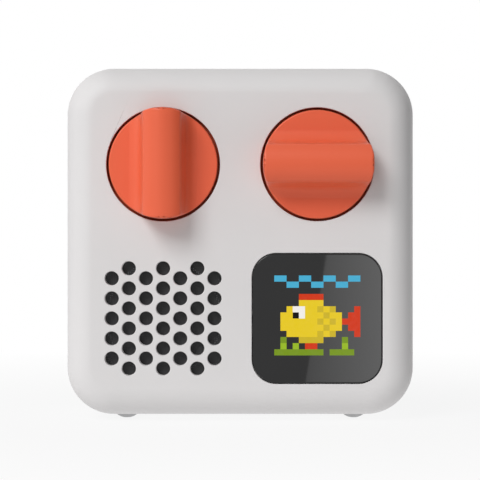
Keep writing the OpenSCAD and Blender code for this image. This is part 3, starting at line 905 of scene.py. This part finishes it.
def area_lamp(name, place, aim, size, power):
    """A soft lamp of size width and height at a place, turned to its aim."""
    data = bpy.data.lights.new(name, "AREA")
    data.shape = "RECTANGLE"
    data.size, data.size_y = size
    data.energy = power
    lamp = bpy.data.objects.new(name, data)
    lamp.location = place
    lamp.rotation_euler = (Vector(aim) - Vector(place)).to_track_quat("-Z", "Y").to_euler()
    bpy.context.scene.collection.objects.link(lamp)


def seen_ray(wiring):
    """1 for what is seen directly, in gloss or through glass, and 0 for light that falls on things."""
    path = wiring.node("ShaderNodeLightPath").outputs
    seen = wiring.math("MAXIMUM", path["Is Camera Ray"], path["Is Glossy Ray"])
    return wiring.math("MAXIMUM", seen, path["Is Transmission Ray"])


def shown_to(finish, surface, ray, inverse=False):
    """Lets a stage piece be seen only by one kind of ray, or by all but that kind."""
    clear = finish.node("ShaderNodeBsdfTransparent").outputs["BSDF"]
    share = finish.node("ShaderNodeLightPath").outputs[ray]
    order = (surface, clear) if inverse else (clear, surface)
    finish.end_with(share, *order)


class PLAYER_OT_stage(bpy.types.Operator):
    """Pale floor, studio light and the camera"""
    bl_idname = "player.stage"
    bl_label = "Stage"

    def lay_floor(self, bounce):
        """A floor that looks white, dimmer close to the object, where it keeps the shadow.
        What it shines back at the object, its bounce, ends at the same distance."""
        side, front, back = 4, -4, 6
        near_share, near, bounce_near, far = 0.88, 0.05, 0.08, 0.2
        floor = flat_piece("floor", [(-side, front, 0), (side, front, 0), (side, back, 0), (-side, back, 0)])
        finish = Finish("floor_paper", Roughness=0.9)
        grey, pale = (0.58, 0.58, 0.58, 1), (0.62, 0.62, 0.62, 1)
        finish.colour(finish.spread(finish.noise(0.4, 2), 0, 1), grey, pale)
        away = finish.length(finish.place)
        shining = finish.spread(away, bounce, 0.0, bounce_near, far)
        white = finish.spread(away, near_share, 1.0, near, far)
        share = finish.spread(seen_ray(finish), shining, white, 0, 1)
        glow = finish.node("ShaderNodeEmission").outputs["Emission"]
        finish.end_with(share, finish.shader.outputs["BSDF"], glow)
        finish.paint(floor)

    def softbox(self, camera_distance):
        """A light panel in front of the display, whose slanted edge shows across the window.
        A point of the window mirrors the panel's point that lies further out by the same share."""
        away = 85 * MM
        slant_top, slant_foot, past_window = 11.0 * MM, 15.2 * MM, 1.0 * MM
        dim, bright = 1.85, 3.5
        share = 1 + away / camera_distance
        top = Vector((LENS_HI.x - slant_top, 0, LENS_HI.z - BODY_MID_Z)) * share
        foot = Vector((LENS_HI.x - slant_foot, 0, LENS_LO.z - BODY_MID_Z)) * share
        right = (LENS_HI.x + past_window) * share
        corners = [foot, Vector((right, 0, foot.z)), Vector((right, 0, top.z)), top]
        panel = flat_piece("softbox", [(v.x, FACE_Y - away, v.z + BODY_MID_Z) for v in corners])
        finish = Finish("softbox_cloth")
        glow = finish.node("ShaderNodeEmission")
        level = finish.spread(finish.part(finish.place, "X"), dim, bright, foot.x, right)
        finish.link(level, glow.inputs["Strength"])
        shown_to(finish, glow.outputs["Emission"], "Is Glossy Ray")
        finish.paint(panel)

    def flag(self, away, along, half_width, tall):
        """A black card at the right, out of the picture, that keeps the light off that side."""
        near, far, foot = along - half_width, along + half_width, 1.0 * MM
        edges = [(near, foot), (far, foot), (far, tall + foot), (near, tall + foot)]
        card = flat_piece("black_flag", [(away, y, z) for y, z in edges])
        finish = Finish("flag_velvet", Roughness=0.95)
        finish.colour(finish.noise(0.01, 3), (0.01, 0.01, 0.01, 1), (0.02, 0.02, 0.02, 1))
        shown_to(finish, finish.shader.outputs["BSDF"], "Is Camera Ray", inverse=True)
        finish.paint(card)

    def room(self, scene, level, lean):
        """Even light all round, brighter at the left and darker at the right, and a white background."""
        world = bpy.data.worlds.new("studio")
        scene.world = world
        world.use_nodes = True
        wiring = Wiring(world.node_tree)
        ground = world.node_tree.nodes["Background"]
        ground.inputs["Color"].default_value = (1, 1, 1, 1)
        way = wiring.node("ShaderNodeTexCoord").outputs["Generated"]
        slope = wiring.spread(wiring.part(way, "X"), level + lean, level - lean, -1, 1)
        shown = wiring.spread(seen_ray(wiring), slope, 1.0, 0, 1)
        wiring.link(shown, ground.inputs["Strength"])

    def stand_camera(self, scene, distance, lens):
        """The photograph's view, straight at the front. Its middle lies a little off the body's middle."""
        off_x, off_z = -0.04 * MM, 0.28 * MM
        data = bpy.data.cameras.new("photo_camera")
        data.sensor_fit = "HORIZONTAL"
        data.sensor_width = 36
        data.lens = lens
        data.clip_start = 0.01
        camera = bpy.data.objects.new("photo_camera", data)
        camera.location = (off_x, FACE_Y - distance, BODY_MID_Z + off_z)
        camera.rotation_euler = (math.pi / 2, 0, 0)
        scene.collection.objects.link(camera)
        scene.camera = camera

    def execute(self, context):
        scene = context.scene
        s = scene.player_studio
        self.lay_floor(s.bounce)
        self.softbox(s.distance)
        self.flag(away=0.40, along=-0.04, half_width=0.29, tall=0.32)
        self.room(scene, s.room, s.lean)
        middle = (0, 0, BODY_MID_Z)
        area_lamp("key_lamp", (-0.41, -0.69, 0.62), middle, (0.45, 0.45), s.key)
        area_lamp("left_lamp", (-0.60, -0.16, 0.26), middle, (0.4, 0.5), s.side)
        area_lamp("back_lamp", (0.45, 0.30, 0.15), middle, (0.3, 0.4), s.back)
        self.stand_camera(scene, s.distance, s.lens)
        scene.view_settings.view_transform = "Standard"
        return {"FINISHED"}


STEPS = (
    PLAYER_OT_housing, PLAYER_OT_knobs, PLAYER_OT_display, PLAYER_OT_cloth, PLAYER_OT_ports,
    PLAYER_OT_feet, PLAYER_OT_screws, PLAYER_OT_display_inside, PLAYER_OT_speaker, PLAYER_OT_boards,
    PLAYER_OT_power, PLAYER_OT_reader, PLAYER_OT_encoders, PLAYER_OT_stage,
)


class PLAYER_PT_panel(bpy.types.Panel):
    """Sizes, colours and steps of the story player"""
    bl_idname = "PLAYER_PT_panel"
    bl_label = "Story player"
    bl_space_type = "VIEW_3D"
    bl_region_type = "UI"
    bl_category = "Story player"

    def draw(self, context):
        for group in SETTINGS:
            settings = getattr(context.scene, group)
            box = self.layout.box()
            for key in type(settings).__annotations__:
                box.prop(settings, key)
        for step in STEPS:
            self.layout.operator(step.bl_idname)


def register():
    for cls in (*SETTINGS.values(), *STEPS, PLAYER_PT_panel):
        bpy.utils.register_class(cls)
    for name, cls in SETTINGS.items():
        setattr(bpy.types.Scene, name, PointerProperty(type=cls))


def unregister():
    for name in SETTINGS:
        delattr(bpy.types.Scene, name)
    for cls in reversed((*SETTINGS.values(), *STEPS, PLAYER_PT_panel)):
        bpy.utils.unregister_class(cls)


def main():
    register()
    for step in STEPS:
        group, name = step.bl_idname.split(".")
        getattr(getattr(bpy.ops, group), name)()


if __name__ == "__main__":
    main()
